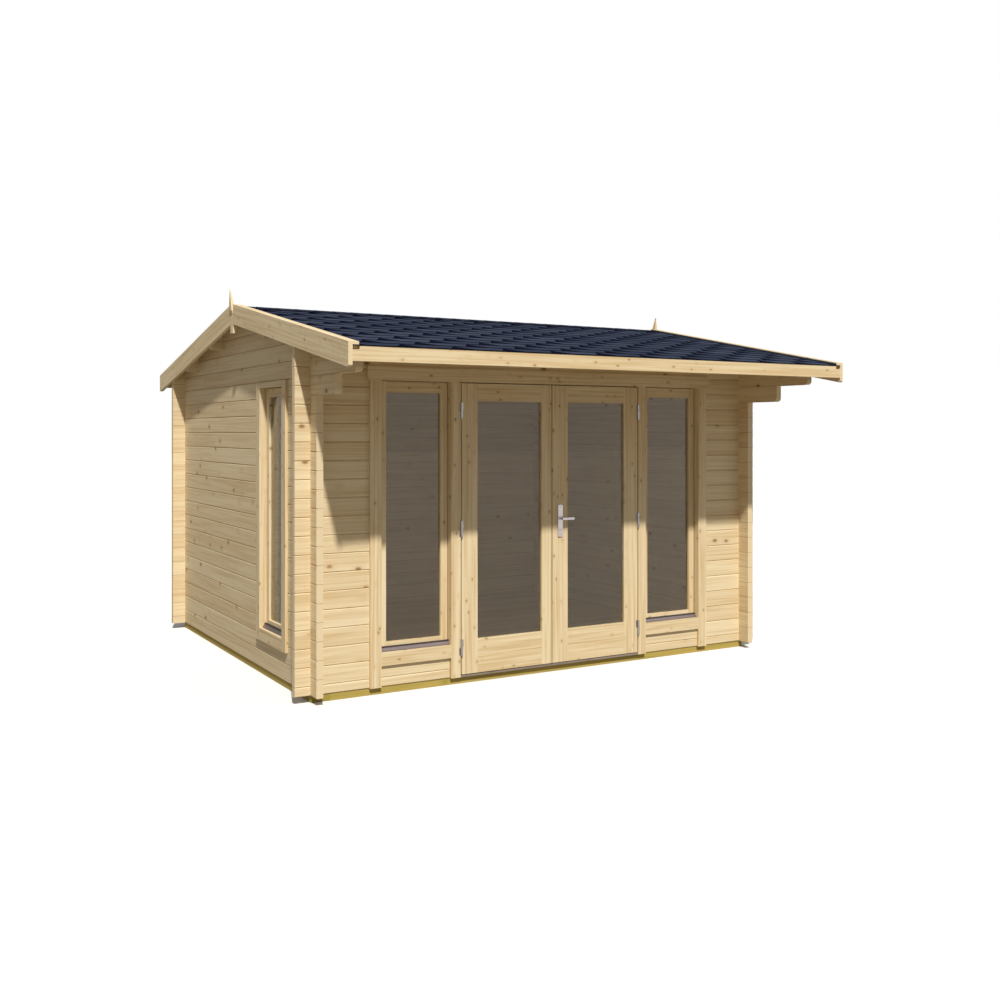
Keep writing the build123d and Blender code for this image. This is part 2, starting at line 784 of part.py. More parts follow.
# Door leaves: stiles, rails and pane, with a seam where the bottom rail is two boards
leaf_plane = front_plane.offset(leaf_back)
leaf_front_y = front_face - trim_thickness
leaf_back_y = front_face - leaf_back
seam_z = leaf_bottom + rail_seam_height
leaf_places = [
    ("left", -1, -leaf_outer, left_leaf_edge, leaf_stile_width, left_meeting_stile),
    ("right", 1, right_leaf_edge, leaf_outer, right_meeting_stile, leaf_stile_width),
]
for name, side, leaf_left, leaf_right, left_stile, right_stile in leaf_places:
    leaf_stiles, leaf_rails, leaf_pane = glazed_frame(
        leaf_plane,
        leaf_left,
        leaf_right,
        leaf_bottom,
        leaf_top,
        left_stile,
        right_stile,
        leaf_bottom_rail,
        leaf_top_rail,
        leaf_thickness,
    )
    with BuildPart() as door_stiles:
        add(leaf_stiles)
        # The right leaf's meeting stile is bored for the lock
        if side > 0:
            with BuildSketch(leaf_plane.offset(-overrun)):
                with Locations((lever_x, lever_z)):
                    Circle(lock_bore_radius)
            extrude(amount=leaf_thickness + 2 * overrun, mode=Mode.SUBTRACT)
    save(door_stiles.part, f"{name}_door_stiles")

    with BuildPart() as door_rails:
        add(leaf_rails)
        for face_y, depth in ((leaf_front_y, rail_seam_depth), (leaf_back_y, -rail_seam_depth)):
            with BuildSketch(Plane.YZ.offset(leaf_left)):
                with BuildLine():
                    Polyline(
                        (face_y, seam_z - rail_seam_width / 2),
                        (face_y + depth, seam_z),
                        (face_y, seam_z + rail_seam_width / 2),
                        close=True,
                    )
                make_face()
            extrude(amount=leaf_right - leaf_left, mode=Mode.SUBTRACT)
    save(door_rails.part, f"{name}_door_rails")
    save(leaf_pane, f"{name}_door_glass")

# Barrel hinges: the lower half with its pin on the trim, the upper half on the leaf
plate_tall = barrel_length - 2 * hinge_plate_inset
trim_face = front_plane.offset(trim_thickness)
with BuildPart() as frame_hinges:
    for side in (-1, 1):
        for height in hinge_heights:
            with BuildSketch(Plane.XY.offset(height - barrel_length)):
                with Locations((side * hinge_x, hinge_y)):
                    Circle(barrel_radius)
            extrude(amount=barrel_length)
            with BuildSketch(Plane.XY.offset(height)):
                with Locations((side * hinge_x, hinge_y)):
                    Circle(pin_radius)
            extrude(amount=pin_length)
            with BuildSketch(trim_face):
                with Locations((side * (hinge_x + hinge_plate_width / 2), height - barrel_length / 2)):
                    Rectangle(hinge_plate_width, plate_tall)
            extrude(amount=hinge_plate_thickness)
save(frame_hinges.part, "frame_hinges")

for name, side in (("left", -1), ("right", 1)):
    with BuildPart() as door_hinges:
        for height in hinge_heights:
            with BuildSketch(Plane.XY.offset(height + barrel_gap)):
                with Locations((side * hinge_x, hinge_y)):
                    Circle(barrel_radius)
            extrude(amount=barrel_length)
            with BuildSketch(trim_face):
                plate_middle = height + barrel_gap + barrel_length / 2
                with Locations((side * (hinge_x - hinge_plate_width / 2), plate_middle)):
                    Rectangle(hinge_plate_width, plate_tall)
            extrude(amount=hinge_plate_thickness)
            with BuildSketch(Plane.XY.offset(height)):
                with Locations((side * hinge_x, hinge_y)):
                    Circle(pin_radius + pin_clearance)
            extrude(amount=pin_length + pin_end_clearance, mode=Mode.SUBTRACT)
    save(door_hinges.part, f"{name}_door_hinges")

# Handle plates on both faces of the right leaf
with BuildPart() as handle_plates:
    for face in (trim_face, leaf_plane.offset(-plate_thickness)):
        with BuildSketch(face):
            with Locations((lever_x, lever_z - plate_drop)):
                Rectangle(plate_width, plate_height)
            chamfer(vertices(), plate_corner)
            with Locations((lever_x, lever_z)):
                Circle(spindle_radius + spindle_clearance, mode=Mode.SUBTRACT)
        extrude(amount=plate_thickness)
save(handle_plates.part, "handle_plates")

# Lever: a round neck and a flat bar on each face, on one spindle through the leaf
outer_seat = leaf_front_y - plate_thickness - lever_clearance
inner_seat = leaf_back_y + plate_thickness + lever_clearance
outer_bar_back = outer_seat - lever_stand + lever_bar_depth
inner_bar_back = inner_seat + lever_stand
with BuildPart() as door_lever:
    for seat, outward in ((outer_seat, -1), (inner_seat, 1)):
        with BuildSketch(Plane(origin=(lever_x, seat, lever_z), z_dir=(0, outward, 0))):
            Circle(lever_radius)
        extrude(amount=lever_stand)
    for bar_back in (outer_bar_back, inner_bar_back):
        with BuildSketch(front_plane.offset(front_face - bar_back)):
            with Locations((lever_x + (lever_reach - lever_radius) / 2, lever_z)):
                Rectangle(lever_reach + lever_radius, lever_bar_height)
            chamfer(vertices(), lever_bar_corner)
        extrude(amount=lever_bar_depth)
    with BuildSketch(Plane(origin=(lever_x, outer_seat, lever_z), z_dir=(0, 1, 0))):
        Circle(spindle_radius)
    extrude(amount=inner_seat - outer_seat)
save(door_lever.part, "door_lever")
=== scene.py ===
import math

import bmesh
import bpy
from mathutils import Matrix, Vector


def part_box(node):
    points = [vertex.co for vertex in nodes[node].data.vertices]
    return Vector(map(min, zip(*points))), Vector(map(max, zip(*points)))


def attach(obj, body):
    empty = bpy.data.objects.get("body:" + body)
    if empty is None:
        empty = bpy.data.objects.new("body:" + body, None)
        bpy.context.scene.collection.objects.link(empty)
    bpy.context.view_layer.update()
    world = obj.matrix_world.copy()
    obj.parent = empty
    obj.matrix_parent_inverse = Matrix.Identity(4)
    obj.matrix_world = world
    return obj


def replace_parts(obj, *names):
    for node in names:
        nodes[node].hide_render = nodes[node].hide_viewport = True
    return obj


# A garden log cabin of pale softwood under dark felt shingles, lit by one soft key light on a white floor.

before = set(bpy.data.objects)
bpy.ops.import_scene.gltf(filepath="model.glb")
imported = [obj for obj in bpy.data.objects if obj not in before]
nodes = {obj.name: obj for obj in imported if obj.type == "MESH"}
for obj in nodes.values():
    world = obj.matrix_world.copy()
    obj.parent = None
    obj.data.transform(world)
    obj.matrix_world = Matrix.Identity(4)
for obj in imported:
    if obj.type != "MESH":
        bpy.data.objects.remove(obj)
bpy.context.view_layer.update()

# Sizes shared with the solids, in metres
ROOF_PITCH = math.radians(11.0)
LOG_HEIGHT = 0.114
LONG_COURSE_START = -0.012
SIDE_COURSE_START = 0.045
LOG_CHAMFER = 0.005
LEFT_WALL_FACE = -1.62
CAP_WIDTH = 0.065
CAP_START = 0.030

# Finishes
PALE_PINE = (0.81, 0.672, 0.434, 1.0)
DEEP_PINE = (0.643, 0.469, 0.25, 1.0)
PINE_KNOT = (0.33, 0.19, 0.085, 1.0)
SMALL_KNOT = (0.40, 0.25, 0.115, 1.0)
PINE_END = (0.80, 0.65, 0.42, 1.0)
# Painted shade for the groove under each log
PAINTED_JOINT_SHADE = (0.27, 0.17, 0.075, 1.0)
PALE_BEARER = (0.54, 0.39, 0.105, 1.0)
DEEP_BEARER = (0.36, 0.28, 0.06, 1.0)
PALE_OAK = (0.31, 0.25, 0.20, 1.0)
DEEP_OAK = (0.20, 0.155, 0.12, 1.0)
DEEP_FELT = (0.022, 0.028, 0.049, 1.0)
PALE_FELT = (0.052, 0.062, 0.094, 1.0)
# Painted shade for felt in the gaps between tabs and on their cut edges
PAINTED_SHADE_FELT = (0.005, 0.006, 0.015, 1.0)

# Pale and deep wood, knots and sawn ends
PINE = (PALE_PINE, DEEP_PINE, PINE_KNOT, PINE_END)
BOARD_PINE = (PALE_PINE, DEEP_PINE, SMALL_KNOT, PINE_END)
TREATED_PINE = (PALE_BEARER, DEEP_BEARER, DEEP_BEARER, DEEP_BEARER)
OAK = (PALE_OAK, DEEP_OAK, DEEP_OAK, DEEP_OAK)

# Knots per metre, size of a knot and strength of the grain
LOG_FIGURE = (6.4, 0.0172, 1.0)
BOARD_FIGURE = (16.0, 0.0088, 1.3)

# How the grain is drawn out along, across and into the wood
STREAK_STRETCH = (1.6, 75.0, 75.0)
BAND_STRETCH = (0.7, 17.0, 17.0)
KNOT_STRETCH = (0.62, 1.0, 1.0)

# How far the figure moves on from one log or board to the next
PIECE_JUMP = (17.3, 9.1, 5.7)


def put(tree, kind, inputs=None, **settings):
    """Adds a node. An input is a constant, or an output of another node that is wired to it."""
    node = tree.nodes.new(kind)
    for name, value in settings.items():
        setattr(node, name, value)
    for key, value in (inputs or {}).items():
        if isinstance(value, bpy.types.NodeSocket):
            tree.links.new(value, node.inputs[key])
        else:
            node.inputs[key].default_value = value
    return node


def maths(tree, operation, *values):
    """One Math node's result."""
    return put(tree, "ShaderNodeMath", dict(enumerate(values)), operation=operation).outputs[0]


def mixed(tree, share, first, second):
    """Two colours mixed by a share."""
    node = put(tree, "ShaderNodeMix", {0: share, 6: first, 7: second}, data_type="RGBA")
    return node.outputs[2]


def ramped(tree, value, low, high, start=0.0, end=1.0):
    """A value stretched from one range to another and held at its ends."""
    inputs = {"Value": value, "From Min": low, "From Max": high, "To Min": start, "To Max": end}
    return put(tree, "ShaderNodeMapRange", inputs, clamp=True).outputs["Result"]


def group_sockets(tree, ins, outs):
    """Gives a node group its named inputs and outputs, and returns its input and output nodes."""
    for name, kind in ins.items():
        tree.interface.new_socket(name, in_out="INPUT", socket_type=kind)
    for name, kind in outs.items():
        tree.interface.new_socket(name, in_out="OUTPUT", socket_type=kind)
    return tree.nodes.new("NodeGroupInput"), tree.nodes.new("NodeGroupOutput")


def softwood_group():
    """Sawn softwood: streaks and bands along the grain, scattered knots, and rings on sawn ends."""
    tree = bpy.data.node_groups.new("softwood", "ShaderNodeTree")
    given, result = group_sockets(
        tree,
        {
            "Along grain": "NodeSocketVector",
            "Piece": "NodeSocketFloat",
            "Shift": "NodeSocketFloat",
            "Knots per metre": "NodeSocketFloat",
            "Knot size": "NodeSocketFloat",
            "Grain strength": "NodeSocketFloat",
            "Sawn end": "NodeSocketFloat",
            "Pale": "NodeSocketColor",
            "Deep": "NodeSocketColor",
            "Knot": "NodeSocketColor",
            "End": "NodeSocketColor",
        },
        {"Color": "NodeSocketColor", "Height": "NodeSocketFloat"},
    )
    place = given.outputs["Along grain"]
    piece = given.outputs["Piece"]
    jump = given.outputs["Shift"]
    shift = put(tree, "ShaderNodeVectorMath", {0: PIECE_JUMP, "Scale": jump}, operation="SCALE")
    moved = put(tree, "ShaderNodeVectorMath", {0: place, 1: shift.outputs[0]}, operation="ADD").outputs[0]

    # Fine streaks and broad bands, drawn out along the grain
    thin = put(tree, "ShaderNodeVectorMath", {0: moved, 1: STREAK_STRETCH}, operation="MULTIPLY")
    streaks = put(tree, "ShaderNodeTexNoise", {"Vector": thin.outputs[0], "Scale": 1.0, "Detail": 4.0})
    broad = put(tree, "ShaderNodeVectorMath", {0: moved, 1: BAND_STRETCH}, operation="MULTIPLY")
    bands = put(
        tree,
        "ShaderNodeTexNoise",
        {"Vector": broad.outputs[0], "Scale": 1.0, "Detail": 2.0, "Distortion": 0.8},
    )
    streak_share = ramped(tree, streaks.outputs[0], 0.45, 0.64, 0.0, 0.48)
    band_share = ramped(tree, bands.outputs[0], 0.38, 0.72, 0.0, 0.45)
    both = maths(tree, "ADD", streak_share, band_share)
    grain = maths(tree, "MULTIPLY", both, given.outputs["Grain strength"])

    # Knots: small balls scattered through the wood, cut by its faces
    spread = put(tree, "ShaderNodeVectorMath", {0: moved, 1: KNOT_STRETCH}, operation="MULTIPLY")
    knots = put(
        tree,
        "ShaderNodeTexVoronoi",
        {"Vector": spread.outputs[0], "Scale": given.outputs["Knots per metre"]},
        feature="F1",
    )
    reach = maths(tree, "DIVIDE", knots.outputs["Distance"], given.outputs["Knots per metre"])
    rim = maths(tree, "DIVIDE", reach, given.outputs["Knot size"])
    core = ramped(tree, rim, 0.41, 1.0, 1.0, 0.0)
    halo = ramped(tree, rim, 0.91, 2.36, 0.45, 0.0)

    # Rings on the sawn ends
    square = put(tree, "ShaderNodeVectorMath", {0: moved, 1: (0.0, 1.0, 1.0)}, operation="MULTIPLY")
    rings = put(
        tree,
        "ShaderNodeTexWave",
        {"Vector": square.outputs[0], "Scale": 34.0, "Distortion": 5.0, "Detail": 1.0, "Detail Scale": 0.6},
        wave_type="RINGS",
        rings_direction="X",
    )
    ring_share = ramped(tree, rings.outputs["Fac"], 0.2, 0.8, 0.0, 0.4)
    ring_colour = mixed(tree, ring_share, given.outputs["End"], given.outputs["Deep"])

    shade = maths(tree, "ADD", grain, ramped(tree, piece, 0.0, 1.0, -0.16, 0.24))
    flat = mixed(tree, ramped(tree, shade, 0.0, 1.0), given.outputs["Pale"], given.outputs["Deep"])
    warm = mixed(tree, halo, flat, given.outputs["Deep"])
    knotted = mixed(tree, core, warm, given.outputs["Knot"])
    colour = mixed(tree, given.outputs["Sawn end"], knotted, ring_colour)
    tree.links.new(colour, result.inputs["Color"])
    tree.links.new(maths(tree, "SUBTRACT", streaks.outputs[0], core), result.inputs["Height"])
    return tree


SOFTWOOD = softwood_group()


def new_material(name):
    """An empty material with its shader and output joined."""
    material = bpy.data.materials.new(name)
    material.use_nodes = True
    tree = material.node_tree
    tree.nodes.clear()
    shader = tree.nodes.new("ShaderNodeBsdfPrincipled")
    out = tree.nodes.new("ShaderNodeOutputMaterial")
    tree.links.new(shader.outputs[0], out.inputs["Surface"])
    return material, tree, shader


def wood(name, grain, piece, figure=LOG_FIGURE, tints=PINE, roughness=0.62):
    """Softwood whose grain runs along one axis.

    grain is "x", "y", "z", "rake" for boards along the roof slope, or "rail" for rails that run along
    X on the front and along Y on the left wall. piece tells logs or boards apart: a pair of course start
    and height, the name of an attribute, or None for a slow drift over the surface. figure is the
    knots per metre, the size of a knot and the strength of the grain.
    """
    material, tree, shader = new_material(name)
    spot = put(tree, "ShaderNodeTexCoord")
    x, y, z = put(tree, "ShaderNodeSeparateXYZ", {0: spot.outputs["Object"]}).outputs
    facing = put(tree, "ShaderNodeSeparateXYZ", {0: spot.outputs["Normal"]}).outputs
    if grain == "rake":
        fall = maths(tree, "MULTIPLY", maths(tree, "ABSOLUTE", y), math.tan(ROOF_PITCH))
        z = maths(tree, "ADD", z, fall)
        run, across, depth, end = y, z, x, facing[1]
    elif grain == "rail":
        on_left = maths(tree, "LESS_THAN", x, LEFT_WALL_FACE)
        run, depth, end = (
            put(tree, "ShaderNodeMix", {0: on_left, 2: front, 3: left}, data_type="FLOAT").outputs[0]
            for front, left in ((x, y), (y, x), (facing[0], facing[1]))
        )
        across = z
    else:
        order = {"x": (0, 2, 1), "y": (1, 2, 0), "z": (2, 0, 1)}[grain]
        run, across, depth = ((x, y, z)[i] for i in order)
        end = facing[order[0]]
    along = put(tree, "ShaderNodeCombineXYZ", {0: run, 1: across, 2: depth}).outputs[0]
    joint = None
    if isinstance(piece, tuple):
        start, height = piece
        inside = maths(tree, "SUBTRACT", z, maths(tree, "MULTIPLY", facing[2], LOG_CHAMFER / 2))
        above = maths(tree, "SUBTRACT", inside, start)
        course = maths(tree, "FLOOR", maths(tree, "DIVIDE", above, height))
        which = put(tree, "ShaderNodeTexWhiteNoise", {"W": course}, noise_dimensions="1D").outputs["Value"]
        # Painted shade: the lower edge of each log is darkened where the joint's groove would be shaded
        rise = maths(tree, "FLOORED_MODULO", maths(tree, "SUBTRACT", z, start), height)
        shade = ramped(tree, rise, LOG_CHAMFER * 0.7, LOG_CHAMFER, 0.5, 0.0)
        upright = ramped(tree, maths(tree, "ABSOLUTE", facing[2]), 0.8, 0.9, 1.0, 0.0)
        joint = maths(tree, "MULTIPLY", shade, upright)
    elif piece:
        which = put(tree, "ShaderNodeAttribute", attribute_name=piece).outputs["Fac"]
    else:
        aside = put(tree, "ShaderNodeCombineXYZ", {0: across, 1: depth}).outputs[0]
        drift = put(tree, "ShaderNodeTexNoise", {"Vector": aside, "Scale": 3.1, "Detail": 0.0})
        which = ramped(tree, drift.outputs[0], 0.3, 0.7)
    sawn = ramped(tree, maths(tree, "ABSOLUTE", end), 0.8, 0.9)
    board = tree.nodes.new("ShaderNodeGroup")
    board.node_tree = SOFTWOOD
    for key, value in zip(("Pale", "Deep", "Knot", "End"), tints):
        board.inputs[key].default_value = value
    for key, value in zip(("Knots per metre", "Knot size", "Grain strength"), figure):
        board.inputs[key].default_value = value
    tree.links.new(along, board.inputs["Along grain"])
    tree.links.new(which, board.inputs["Piece"])
    if piece:
        tree.links.new(which, board.inputs["Shift"])
    tree.links.new(sawn, board.inputs["Sawn end"])
    colour = board.outputs["Color"]
    if joint is not None:
        # Painted shade in the joint under each log
        colour = mixed(tree, joint, colour, PAINTED_JOINT_SHADE)
    tree.links.new(colour, shader.inputs["Base Color"])
    relief = {"Height": board.outputs["Height"], "Strength": 0.25, "Distance": 0.002}
    bump = put(tree, "ShaderNodeBump", relief)
    tree.links.new(bump.outputs[0], shader.inputs["Normal"])
    shader.inputs["Roughness"].default_value = roughness
    shader.inputs["Specular IOR Level"].default_value = 0.25
    return material


def felt():
    """Dark blue-grey mineral felt with a fine grit.

    Each tab is a little lighter or darker than the next, and carries painted shade on its cut lower
    edge and where the row above laps it, which shows in the gaps between tabs.
    """
    material, tree, shader = new_material("shingle_felt")
    spot = put(tree, "ShaderNodeTexCoord")
    place = spot.outputs["Object"]
    grit = put(tree, "ShaderNodeTexNoise", {"Vector": place, "Scale": 420.0, "Detail": 2.0}).outputs[0]
    tab = put(tree, "ShaderNodeAttribute", attribute_name="tab_shade").outputs["Fac"]
    lap = put(tree, "ShaderNodeAttribute", attribute_name="tab_lap").outputs["Fac"]
    shade = maths(tree, "ADD", maths(tree, "MULTIPLY", grit, 0.5), maths(tree, "MULTIPLY", tab, 0.75))
    lit = mixed(tree, shade, DEEP_FELT, PALE_FELT)
    # Painted shade: dark where the row above laps the tab, seen in the gaps between tabs, and on the tab's
    # cut lower edge
    painted_gap_shade = ramped(tree, lap, 0.40, 0.50, 0.0, 1.0)
    edge = ramped(tree, lap, 0.010, 0.014, 1.0, 0.0)
    colour = mixed(tree, maths(tree, "MAXIMUM", painted_gap_shade, edge), lit, PAINTED_SHADE_FELT)
    tree.links.new(colour, shader.inputs["Base Color"])
    bump = put(tree, "ShaderNodeBump", {"Height": grit, "Strength": 0.4, "Distance": 0.001})
    tree.links.new(bump.outputs[0], shader.inputs["Normal"])
    shader.inputs["Roughness"].default_value = 0.95
    shader.inputs["Specular IOR Level"].default_value = 0.0
    return material


def metal(name, colour, roughness):
    """Plain metal with a faint unevenness in its gloss."""
    material, tree, shader = new_material(name)
    spot = put(tree, "ShaderNodeTexCoord")
    haze = put(tree, "ShaderNodeTexNoise", {"Vector": spot.outputs["Object"], "Scale": 60.0, "Detail": 2.0})
    gloss = ramped(tree, haze.outputs[0], 0.3, 0.7, roughness - 0.06, roughness + 0.06)
    tree.links.new(gloss, shader.inputs["Roughness"])
    shader.inputs["Base Color"].default_value = colour
    shader.inputs["Metallic"].default_value = 1.0
    return material


def glass():
    """Clear window glass with a warm tint, as bright in its gloss as a double pane."""
    material, _, shader = new_material("pane_glass")
    shader.inputs["Base Color"].default_value = (0.66, 0.65, 0.61, 1.0)
    shader.inputs["Roughness"].default_value = 0.0
    shader.inputs["IOR"].default_value = 1.58
    shader.inputs["Specular Tint"].default_value = (1.0, 0.855, 0.72, 1.0)
    shader.inputs["Transmission Weight"].default_value = 1.0
    return material


LONG_LOG = wood("long_wall_logs", "x", (LONG_COURSE_START, LOG_HEIGHT))
SIDE_LOG = wood("side_wall_logs", "y", (SIDE_COURSE_START, LOG_HEIGHT))
LONG_BOARD = wood("long_boards", "x", None, BOARD_FIGURE, BOARD_PINE)
UPRIGHT = wood("upright_boards", "z", None, BOARD_FIGURE, BOARD_PINE)
RAIL = wood("rail_boards", "rail", None, BOARD_FIGURE, BOARD_PINE)
RAKE = wood("rake_boards", "rake", None, BOARD_FIGURE, BOARD_PINE)
DECK = wood("deck_boards", "rake", "board_shade")
PLANK = wood("floor_planks", "x", "board_shade")
BEARER = wood("bearers", "rail", None, tints=TREATED_PINE, roughness=0.75)
THRESHOLD = wood("threshold_oak", "x", None, tints=OAK, roughness=0.5)
FELT = felt()
HINGE = metal("hinge_steel", (0.33, 0.31, 0.295, 1.0), 0.32)
HANDLE = metal("handle_metal", (0.50, 0.455, 0.46, 1.0), 0.30)
DRIP = metal("drip_metal", (0.28, 0.235, 0.235, 1.0), 0.5)
DARK = metal("dark_fitting", (0.02, 0.018, 0.018, 1.0), 0.6)
# A dark seal, its colour also painted shade under the sash rails
SEAL_AND_SHADE = metal("drip_seal_and_shade", (0.085, 0.07, 0.068, 1.0), 0.6)
PANE = glass()

CAD_FINISHES = {
    "front_wall_odd_logs": LONG_LOG,
    "front_wall_even_logs": LONG_LOG,
    "back_wall_odd_logs": LONG_LOG,
    "back_wall_even_logs": LONG_LOG,
    "left_wall_odd_logs": SIDE_LOG,
    "left_wall_even_logs": SIDE_LOG,
    "right_wall_odd_logs": SIDE_LOG,
    "right_wall_even_logs": SIDE_LOG,
    "long_foundation_beams": BEARER,
    "cross_foundation_beams": BEARER,
    "floor_boards": PLANK,
    "ridge_purlin": LONG_BOARD,
    "purlins": LONG_BOARD,
    "front_roof_deck": DECK,
    "back_roof_deck": DECK,
    "front_shingles": FELT,
    "back_shingles": FELT,
    "left_bargeboards": RAKE,
    "right_bargeboards": RAKE,
    "cap_strips": RAKE,
    "fascias": LONG_BOARD,
    "gable_finials": UPRIGHT,
    "door_posts": UPRIGHT,
    "window_posts": UPRIGHT,
    "window_heads": RAIL,
    "window_sills": RAIL,
    "door_stops": UPRIGHT,
    "threshold": THRESHOLD,
    "trim_posts": UPRIGHT,
    "trim_rails": RAIL,
    "window_sash_stiles": UPRIGHT,
    "window_sash_rails": RAIL,
    "window_glass": PANE,
    "drip_strips": DRIP,
    "left_door_stiles": UPRIGHT,
    "left_door_rails": RAIL,
    "left_door_glass": PANE,
    "left_door_hinges": HINGE,
    "right_door_stiles": UPRIGHT,
    "right_door_rails": RAIL,
    "right_door_glass": PANE,
    "right_door_hinges": HINGE,
    "frame_hinges": HINGE,
    "handle_plates": HANDLE,
    "door_lever": HANDLE,
}
for name, material in CAD_FINISHES.items():
    nodes[name].data.materials.clear()
    nodes[name].data.materials.append(material)


def geometry_tree(name, sizes):
    """A Geometry Nodes tree with named sizes, and its input and output nodes."""
    tree = bpy.data.node_groups.new(name, "GeometryNodeTree")
    given, result = group_sockets(tree, sizes, {"Geometry": "NodeSocketGeometry"})
    return tree, given.outputs, result


def shaded_instances(tree, points, shape, attribute, seed, material, turn=None):
    """Puts a shape on points, gives each copy its own shade, and makes them one mesh with a material."""
    placed = put(tree, "GeometryNodeInstanceOnPoints", {"Points": points, "Instance": shape})
    if turn is not None:
        tree.links.new(turn, placed.inputs["Rotation"])
    shade = put(tree, "FunctionNodeRandomValue", {"Seed": seed}, data_type="FLOAT")
    tagged = put(
        tree,
        "GeometryNodeStoreNamedAttribute",
        {"Geometry": placed.outputs[0], "Name": attribute, "Value": shade.outputs[1]},
        data_type="FLOAT",
        domain="INSTANCE",
    )
    solid = put(tree, "GeometryNodeRealizeInstances", {"Geometry": tagged.outputs[0]}).outputs[0]
    finish = {"Geometry": solid, "Material": material}
    return put(tree, "GeometryNodeSetMaterial", finish).outputs[0]


def spot_parts(tree):
    """The X, Y and Z of each point of a shape."""
    spot = put(tree, "GeometryNodeInputPosition").outputs[0]
    return put(tree, "ShaderNodeSeparateXYZ", {0: spot}).outputs


def block_size(tree, size):
    """The length, width and thickness of a block as one vector."""
    sides = {0: size["length"], 1: size["width"], 2: size["thickness"]}
    return put(tree, "ShaderNodeCombineXYZ", sides).outputs[0]


def line_of_points(tree, count, pitch, axis):
    """Points along one axis at an even pitch, centred on the origin."""
    gaps = maths(tree, "SUBTRACT", count, 1.0)
    first = maths(tree, "MULTIPLY", gaps, maths(tree, "MULTIPLY", pitch, -0.5))
    start = put(tree, "ShaderNodeCombineXYZ", {axis: first}).outputs[0]
    step = put(tree, "ShaderNodeCombineXYZ", {axis: pitch}).outputs[0]
    row = {"Count": count, "Start Location": start, "Offset": step}
    return put(tree, "GeometryNodeMeshLine", row).outputs[0]


def shingle_tree():
    """Rows of tapered tabs, every second row moved along by half a tab."""
    tree, size, result = geometry_tree(
        "shingle_rows",
        {
            "tab_width": "NodeSocketFloat",
            "exposure": "NodeSocketFloat",
            "thickness": "NodeSocketFloat",
            "columns": "NodeSocketInt",
            "rows": "NodeSocketInt",
            "tilt": "NodeSocketFloat",
            "seed": "NodeSocketInt",
            "material": "NodeSocketMaterial",
        },
    )
    width, exposure = size["tab_width"], size["exposure"]
    across = maths(tree, "MULTIPLY", width, maths(tree, "SUBTRACT", size["columns"], 1.0))
    up = maths(tree, "MULTIPLY", exposure, maths(tree, "SUBTRACT", size["rows"], 1.0))
    grid = put(
        tree,
        "GeometryNodeMeshGrid",
        {"Size X": across, "Size Y": up, "Vertices X": size["columns"], "Vertices Y": size["rows"]},
    )
    point = spot_parts(tree)
    row = maths(tree, "ROUND", maths(tree, "DIVIDE", maths(tree, "ADD", point[1], up), exposure))
    odd = maths(tree, "FLOORED_MODULO", row, 2.0)
    half_tab = maths(tree, "MULTIPLY", odd, maths(tree, "DIVIDE", width, 2.0))
    step = put(tree, "ShaderNodeCombineXYZ", {0: half_tab})
    rows = put(tree, "GeometryNodeSetPosition", {"Geometry": grid.outputs[0], "Offset": step.outputs[0]})

    # One tab: a flat bar twice the exposure long, its lower end half as wide
    long = maths(tree, "MULTIPLY", exposure, 2.0)
    bar_size = put(tree, "ShaderNodeCombineXYZ", {0: width, 1: long, 2: size["thickness"]})
    bar = put(
        tree,
        "GeometryNodeMeshCube",
        {"Size": bar_size.outputs[0], "Vertices X": 2, "Vertices Y": 3, "Vertices Z": 2},
    )
    corner = spot_parts(tree)
    low = maths(tree, "LESS_THAN", corner[1], maths(tree, "MULTIPLY", exposure, -0.5))
    inward = maths(tree, "MULTIPLY", maths(tree, "MULTIPLY", corner[0], -0.5), low)
    pull = put(tree, "ShaderNodeCombineXYZ", {0: inward})
    tapered = put(tree, "GeometryNodeSetPosition", {"Geometry": bar.outputs[0], "Offset": pull.outputs[0]})
    # tab_lap runs from 0 at the tab's lower end to 1 at its top; the felt paints shade above 0.5, where the
    # row above laps it, and at the lower edge
    lap = maths(tree, "ADD", maths(tree, "DIVIDE", corner[1], long), 0.5)
    tab = put(
        tree,
        "GeometryNodeStoreNamedAttribute",
        {"Geometry": tapered.outputs[0], "Name": "tab_lap", "Value": lap},
        data_type="FLOAT",
        domain="POINT",
    )
    lean = put(tree, "ShaderNodeCombineXYZ", {0: size["tilt"]}).outputs[0]
    felted = shaded_instances(
        tree, rows.outputs[0], tab.outputs[0], "tab_shade", size["seed"], size["material"], lean
    )
    tree.links.new(felted, result.inputs[0])
    return tree


def board_tree():
    """Boards side by side with a narrow joint between them."""
    tree, size, result = geometry_tree(
        "board_row",
        {
            "length": "NodeSocketFloat",
            "width": "NodeSocketFloat",
            "thickness": "NodeSocketFloat",
            "joint": "NodeSocketFloat",
            "count": "NodeSocketInt",
            "seed": "NodeSocketInt",
            "material": "NodeSocketMaterial",
        },
    )
    pitch = maths(tree, "ADD", size["width"], size["joint"])
    line = line_of_points(tree, size["count"], pitch, 1)
    board = put(tree, "GeometryNodeMeshCube", {"Size": block_size(tree, size)}).outputs[0]
    laid = shaded_instances(tree, line, board, "board_shade", size["seed"], size["material"])
    tree.links.new(laid, result.inputs[0])
    return tree


